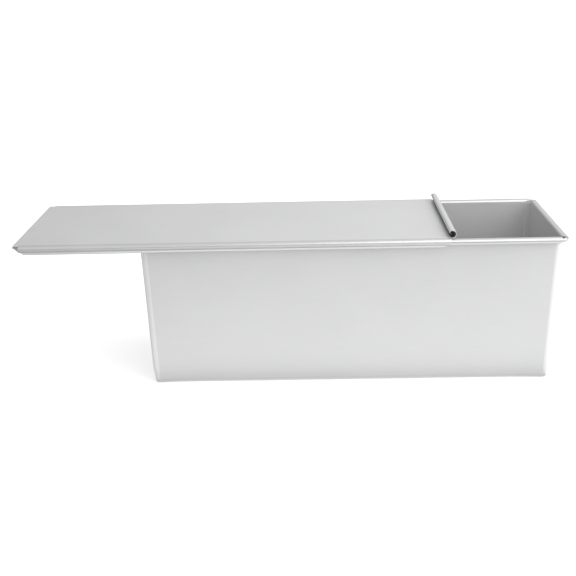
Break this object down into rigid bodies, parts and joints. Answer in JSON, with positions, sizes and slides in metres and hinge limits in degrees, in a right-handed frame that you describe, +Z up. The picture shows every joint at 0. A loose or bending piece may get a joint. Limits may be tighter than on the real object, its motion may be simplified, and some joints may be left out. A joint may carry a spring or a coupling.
{
  "type": "lidded loaf pan",
  "caption": "Straight-sided lidded loaf pan folded from sheet steel, with a wired rolled rim and a sliding lid with side channels, an end hook and a finger roll.",
  "frame": {"origin": "middle of the tub's flat resting face, on the surface it stands on", "axes": "+Z up out of the tub, +X along the tub in the direction in which the lid closes, Y across the tub"},
  "size_m": [0.4389, 0.1302, 0.1299],
  "materials": {
    "tub_sheet": "matte aluminised steel sheet",
    "wire": "drawn galvanised wire",
    "lid_sheet": "matte aluminised steel sheet"
  },
  "bodies": {
    "pan": {"pan_body": "tub_sheet", "rim_wire": "wire"},
    "lid": {"lid": "lid_sheet"}
  },
  "joints": [
    {"name": "lid_slide", "type": "slide", "parent": "pan", "child": "lid", "axis": [1, 0, 0], "range_m": [-0.26, 0.09]}
  ]
}
